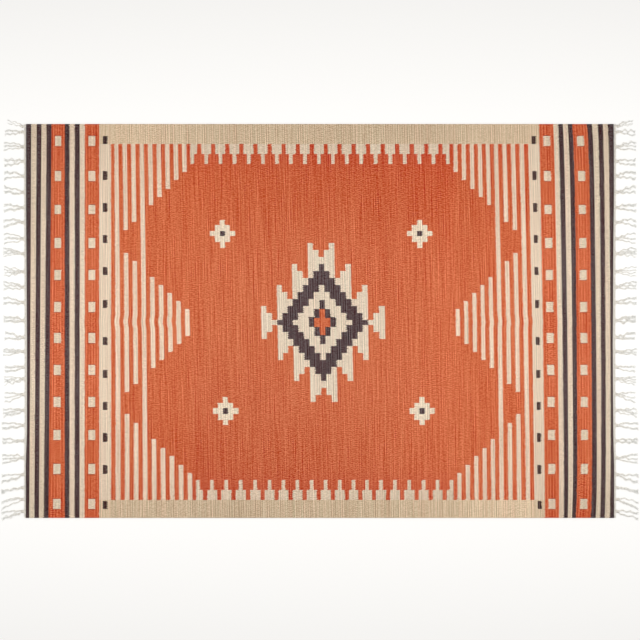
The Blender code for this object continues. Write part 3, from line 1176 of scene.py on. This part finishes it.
def part_bunch(bunch, chances):
    """The locks of a bunch: each opens sideways and sways in its own way."""
    locks = []
    for index in range(bunch.locks):
        fan = 1.0 - 2.0 * index / (bunch.locks - 1) if bunch.locks > 1 else 0.0
        locks.append(Lock(
            fan, chances.uniform(*OPENINGS), chances.uniform(-1, 1) * SWAY,
            chances.uniform(*RIPPLE_SHARES) * RIPPLE, chances.uniform(*RIPPLE_WAVES),
            chances.uniform(0, 2 * math.pi)))
    return locks


def warp_end(bunch, lock, y, turn, ring, side, settings, chances):
    """Points along one warp end: out of the heading, through the knot and out to the tip."""
    root = bunch.root * MM
    edge = heading_edge(root, side)
    half_yarn = settings.fringe.yarn / 2
    knot_x = edge + KNOT_FROM_HEADING
    height = KNOT_HEIGHT / 2 + math.sin(turn) * PACKED_HEIGHT
    packed = (math.cos(turn) * (1.0 - PACKED_BY_LOCK) + lock.fan * PACKED_BY_LOCK) * PACKED_WIDTH
    rises = (OUT_OF_HEADING, OUT_OF_HEADING, (OUT_OF_HEADING + height) / 2)
    points = [(edge + gather.out, root + (y - root) * gather.apart, rise)
              for gather, rise in zip(GATHERS, rises)]
    points += [(knot_x, root + packed * AT_KNOT, height),
               (knot_x + KNOT_LENGTH / 2, root + packed, height)]
    tip = edge + bunch.reach * MM + TIP_WISP - settings.fringe.unevenness * chances.random()
    stray = chances.uniform(-1, 1) * (STRAY if chances.random() < 1 / STRAYS else LOOSE)
    bends = chances.uniform(*RIPPLE_WAVES)
    opened = max(bunch.spread * MM / 2 - ring, 0.0)
    for station in range(2, LOCK_STATIONS + 1):
        share = station / LOCK_STATIONS
        frayed = max(0.0, (share - FRAYED_FROM) / (1.0 - FRAYED_FROM))
        angle = turn + 2 * math.pi * LOCK_TURNS * share
        middle = ((bunch.tip - bunch.root) * MM * share
                  + bunch.bow * MM * math.sin(math.pi * share)
                  + lock.fan * (PACKED_WIDTH + (opened - PACKED_WIDTH) * share ** lock.opening)
                  + lock.sway * math.sin(2 * math.pi * share)
                  + lock.ripple * math.sin(lock.waves * share + lock.phase))
        aside = (ring * math.cos(angle) * (1.0 + FRAY * frayed)
                 + stray * math.sin(bends * share) * math.sin(math.pi * share) ** 0.5)
        lifted = ring * (1.0 + math.sin(angle)) * PRESSED * (1.0 - frayed)
        points.append((knot_x + (tip - knot_x) * share, root + middle + aside,
                       half_yarn + lifted))
    return [(side * x, across, up) for x, across, up in points]


def lay_fringe(name, node, settings):
    """All the warp ends of one side, gathered into their bunches."""
    side = SIDES[name]
    chances = random.Random(settings.fringe.seed + side)
    lines, radii = [], []
    for bunch, places in zip(BUNCHES, share_out_warps()):
        locks = part_bunch(bunch, chances)
        yarns = math.ceil(len(places) / len(locks))
        ring = settings.fringe.yarn * yarns / (2 * math.pi)
        for index, y in enumerate(places):
            turn = 2 * math.pi * (index % yarns) / yarns
            line = warp_end(bunch, locks[index // yarns], y, turn, ring, side, settings, chances)
            lines.append(line)
            radii.append([1.0] * (len(line) - len(FRAYED_TIP)) + FRAYED_TIP)
    fringe = curve_piece("fringe_yarns_" + name, lines, radii=radii,
                         round_size=settings.fringe.yarn / 2, smooth=True)
    finish_piece(fringe, node,
                 make_cotton("undyed_cotton_yarn", settings.dyes.cord, YARN_TURNS,
                             at_tip=settings.dyes.cotton))


KNOT_WRAPS = 3
WRAP_POINTS = 12
WRAP_YARN = 2.0 * MM
WRAP_PITCH = 2.1 * MM
WRAP_REACH = 4.0 * MM          # half of a wrap's width
WRAP_RISE = 1.9 * MM           # half of its height
WRAP_SLANT = 0.28
OUTER_WRAP_TIGHTER = 0.16


def knot_lines(x, y, turn):
    """Wraps of one overhand knot: tilted loops side by side round the bunch."""
    lines = []
    for wrap in range(KNOT_WRAPS):
        from_middle = wrap - (KNOT_WRAPS - 1) / 2
        offset = from_middle * WRAP_PITCH
        narrow = 1.0 - OUTER_WRAP_TIGHTER * abs(from_middle)
        line = []
        for index in range(WRAP_POINTS):
            angle = 2 * math.pi * index / WRAP_POINTS
            across = math.cos(angle) * WRAP_REACH * narrow
            up = math.sin(angle) * WRAP_RISE * narrow
            line.append((x + offset + turn * across * WRAP_SLANT, y + across,
                         KNOT_HEIGHT / 2 + up))
        lines.append(line)
    return lines


def tie_knots(name, node, settings):
    """One pressed knot in each bunch, close to the heading."""
    side = SIDES[name]
    lines = []
    for index, bunch in enumerate(BUNCHES):
        x = side * (heading_edge(bunch.root * MM, side) + KNOT_FROM_HEADING)
        lines += knot_lines(x, bunch.root * MM, 1 if index % 2 else -1)
    knots = curve_piece("fringe_knots_" + name, lines, round_size=WRAP_YARN / 2, closed=True)
    finish_piece(knots, node,
                 make_cotton("undyed_cotton_knot", settings.dyes.cord, WRAP_TURNS))


# ---------------------------------------------------------------- the stage
FLOOR_SIZE = 40.0
FLOOR_DEPTH = 0.2 * MM         # under the rug, so that the two don't share a plane
FLOOR_ROUGHNESS = 0.95
SOFTBOX_LENGTH = 6.4
SOFTBOX_WIDTH = 0.9
SOFTBOX_HEIGHT = 1.8
CAMERA_Y = 3.04 * MM
VIEW_HEIGHT = 3.0 * MM         # at which the frame has its width
CAMERA_SEES_TO = 100.0


def add_floor(stage):
    deselect()
    bpy.ops.mesh.primitive_plane_add(size=FLOOR_SIZE, location=(0.0, 0.0, -FLOOR_DEPTH))
    floor = bpy.context.active_object
    floor.name = "floor"
    material, _, shader = new_material("pale_floor", FLOOR_ROUGHNESS, 0.0)
    shader.inputs["Base Color"].default_value = solid(stage.floor)
    shader.inputs["Specular IOR Level"].default_value = 0.0
    floor.data.materials.append(material)
    bpy.ops.object.transform_apply(location=True)


def add_light(stage):
    world = bpy.data.worlds.new("soft_studio")
    world.use_nodes = True
    sky = world.node_tree.nodes["Background"]
    sky.inputs["Color"].default_value = (1.0, 1.0, 1.0, 1.0)
    sky.inputs["Strength"].default_value = stage.sky
    bpy.context.scene.world = world
    lamp = bpy.data.lights.new("long_softbox", "AREA")
    lamp.shape = "RECTANGLE"
    lamp.size = SOFTBOX_LENGTH
    lamp.size_y = SOFTBOX_WIDTH
    lamp.energy = stage.lamp
    softbox = bpy.data.objects.new("long_softbox", lamp)
    softbox.location = (0.0, 0.0, SOFTBOX_HEIGHT)
    softbox.visible_camera = False
    bpy.context.scene.collection.objects.link(softbox)


def add_camera(stage):
    """Straight above the rug, with the photograph's framing."""
    camera = bpy.data.cameras.new("camera")
    camera.lens = stage.lens
    camera.clip_end = CAMERA_SEES_TO
    view = bpy.data.objects.new("camera", camera)
    distance = stage.frame_width * camera.lens / camera.sensor_width
    view.location = (0.0, CAMERA_Y, distance + VIEW_HEIGHT)
    bpy.context.scene.collection.objects.link(view)
    bpy.context.scene.camera = view


# ---------------------------------------------------------------- operators
def at_both_ends(make, context):
    for name in SIDES:
        make(name, "fringe_" + name, context.scene.kilim)


class KILIM_OT_weave_cloth(bpy.types.Operator):
    """Weave the cloth with its chart of stripes, bars, teeth, stars and medallion"""
    bl_idname = "kilim.weave_cloth"
    bl_label = "Weave cloth"

    def execute(self, context):
        weave_cloth(context.scene.kilim)
        return {"FINISHED"}


class KILIM_OT_twist_headings(bpy.types.Operator):
    """Twist the undyed heading cords at both ends of the cloth"""
    bl_idname = "kilim.twist_headings"
    bl_label = "Twist headings"

    def execute(self, context):
        at_both_ends(twist_heading, context)
        return {"FINISHED"}


class KILIM_OT_lay_fringes(bpy.types.Operator):
    """Lay the warp ends out of both headings, in bunches"""
    bl_idname = "kilim.lay_fringes"
    bl_label = "Lay fringes"

    def execute(self, context):
        at_both_ends(lay_fringe, context)
        return {"FINISHED"}


class KILIM_OT_tie_knots(bpy.types.Operator):
    """Tie a knot in each bunch of warp ends"""
    bl_idname = "kilim.tie_knots"
    bl_label = "Tie knots"

    def execute(self, context):
        at_both_ends(tie_knots, context)
        return {"FINISHED"}


class KILIM_OT_declare_sheet(bpy.types.Operator):
    """Takes no step: nothing declares the cloth as a sheet here"""
    bl_idname = "kilim.declare_sheet"
    bl_label = "Declare sheet"

    def execute(self, context):
        return {"FINISHED"}


class KILIM_OT_set_stage(bpy.types.Operator):
    """Lay the floor, hang the lamp and place the camera straight above"""
    bl_idname = "kilim.set_stage"
    bl_label = "Set stage"

    def execute(self, context):
        stage = context.scene.kilim.stage
        add_floor(stage)
        add_light(stage)
        add_camera(stage)
        context.scene.view_settings.view_transform = "Standard"
        return {"FINISHED"}


class KILIM_PT_steps(bpy.types.Panel):
    """The steps of making the rug, in order"""
    bl_idname = "KILIM_PT_steps"
    bl_label = "Kilim Rug"
    bl_space_type = "VIEW_3D"
    bl_region_type = "UI"
    bl_category = "Kilim"

    def draw(self, context):
        settings = context.scene.kilim
        for group, steps in (
                (settings.stage, (KILIM_OT_set_stage,)),
                (settings.cloth, (KILIM_OT_weave_cloth,)),
                (settings.dyes, ()),
                (settings.fringe, (KILIM_OT_twist_headings, KILIM_OT_lay_fringes,
                                   KILIM_OT_tie_knots, KILIM_OT_declare_sheet))):
            box = self.layout.box()
            for name in group.bl_rna.properties.keys():
                if name not in {"rna_type", "name"}:
                    box.prop(group, name)
            for step in steps:
                box.operator(step.bl_idname)


CLASSES = (
    KilimCloth, KilimDyes, KilimFringe, KilimStage, KilimSettings,
    KILIM_OT_set_stage, KILIM_OT_weave_cloth, KILIM_OT_twist_headings, KILIM_OT_lay_fringes,
    KILIM_OT_tie_knots, KILIM_OT_declare_sheet, KILIM_PT_steps,
)


def register():
    for cls in CLASSES:
        bpy.utils.register_class(cls)
    bpy.types.Scene.kilim = bpy.props.PointerProperty(type=KilimSettings)


def unregister():
    del bpy.types.Scene.kilim
    for cls in reversed(CLASSES):
        bpy.utils.unregister_class(cls)


def main():
    register()
    bpy.ops.kilim.set_stage()
    bpy.ops.kilim.weave_cloth()
    bpy.ops.kilim.twist_headings()
    bpy.ops.kilim.lay_fringes()
    bpy.ops.kilim.tie_knots()
    bpy.ops.kilim.declare_sheet()


if __name__ == "__main__":
    main()
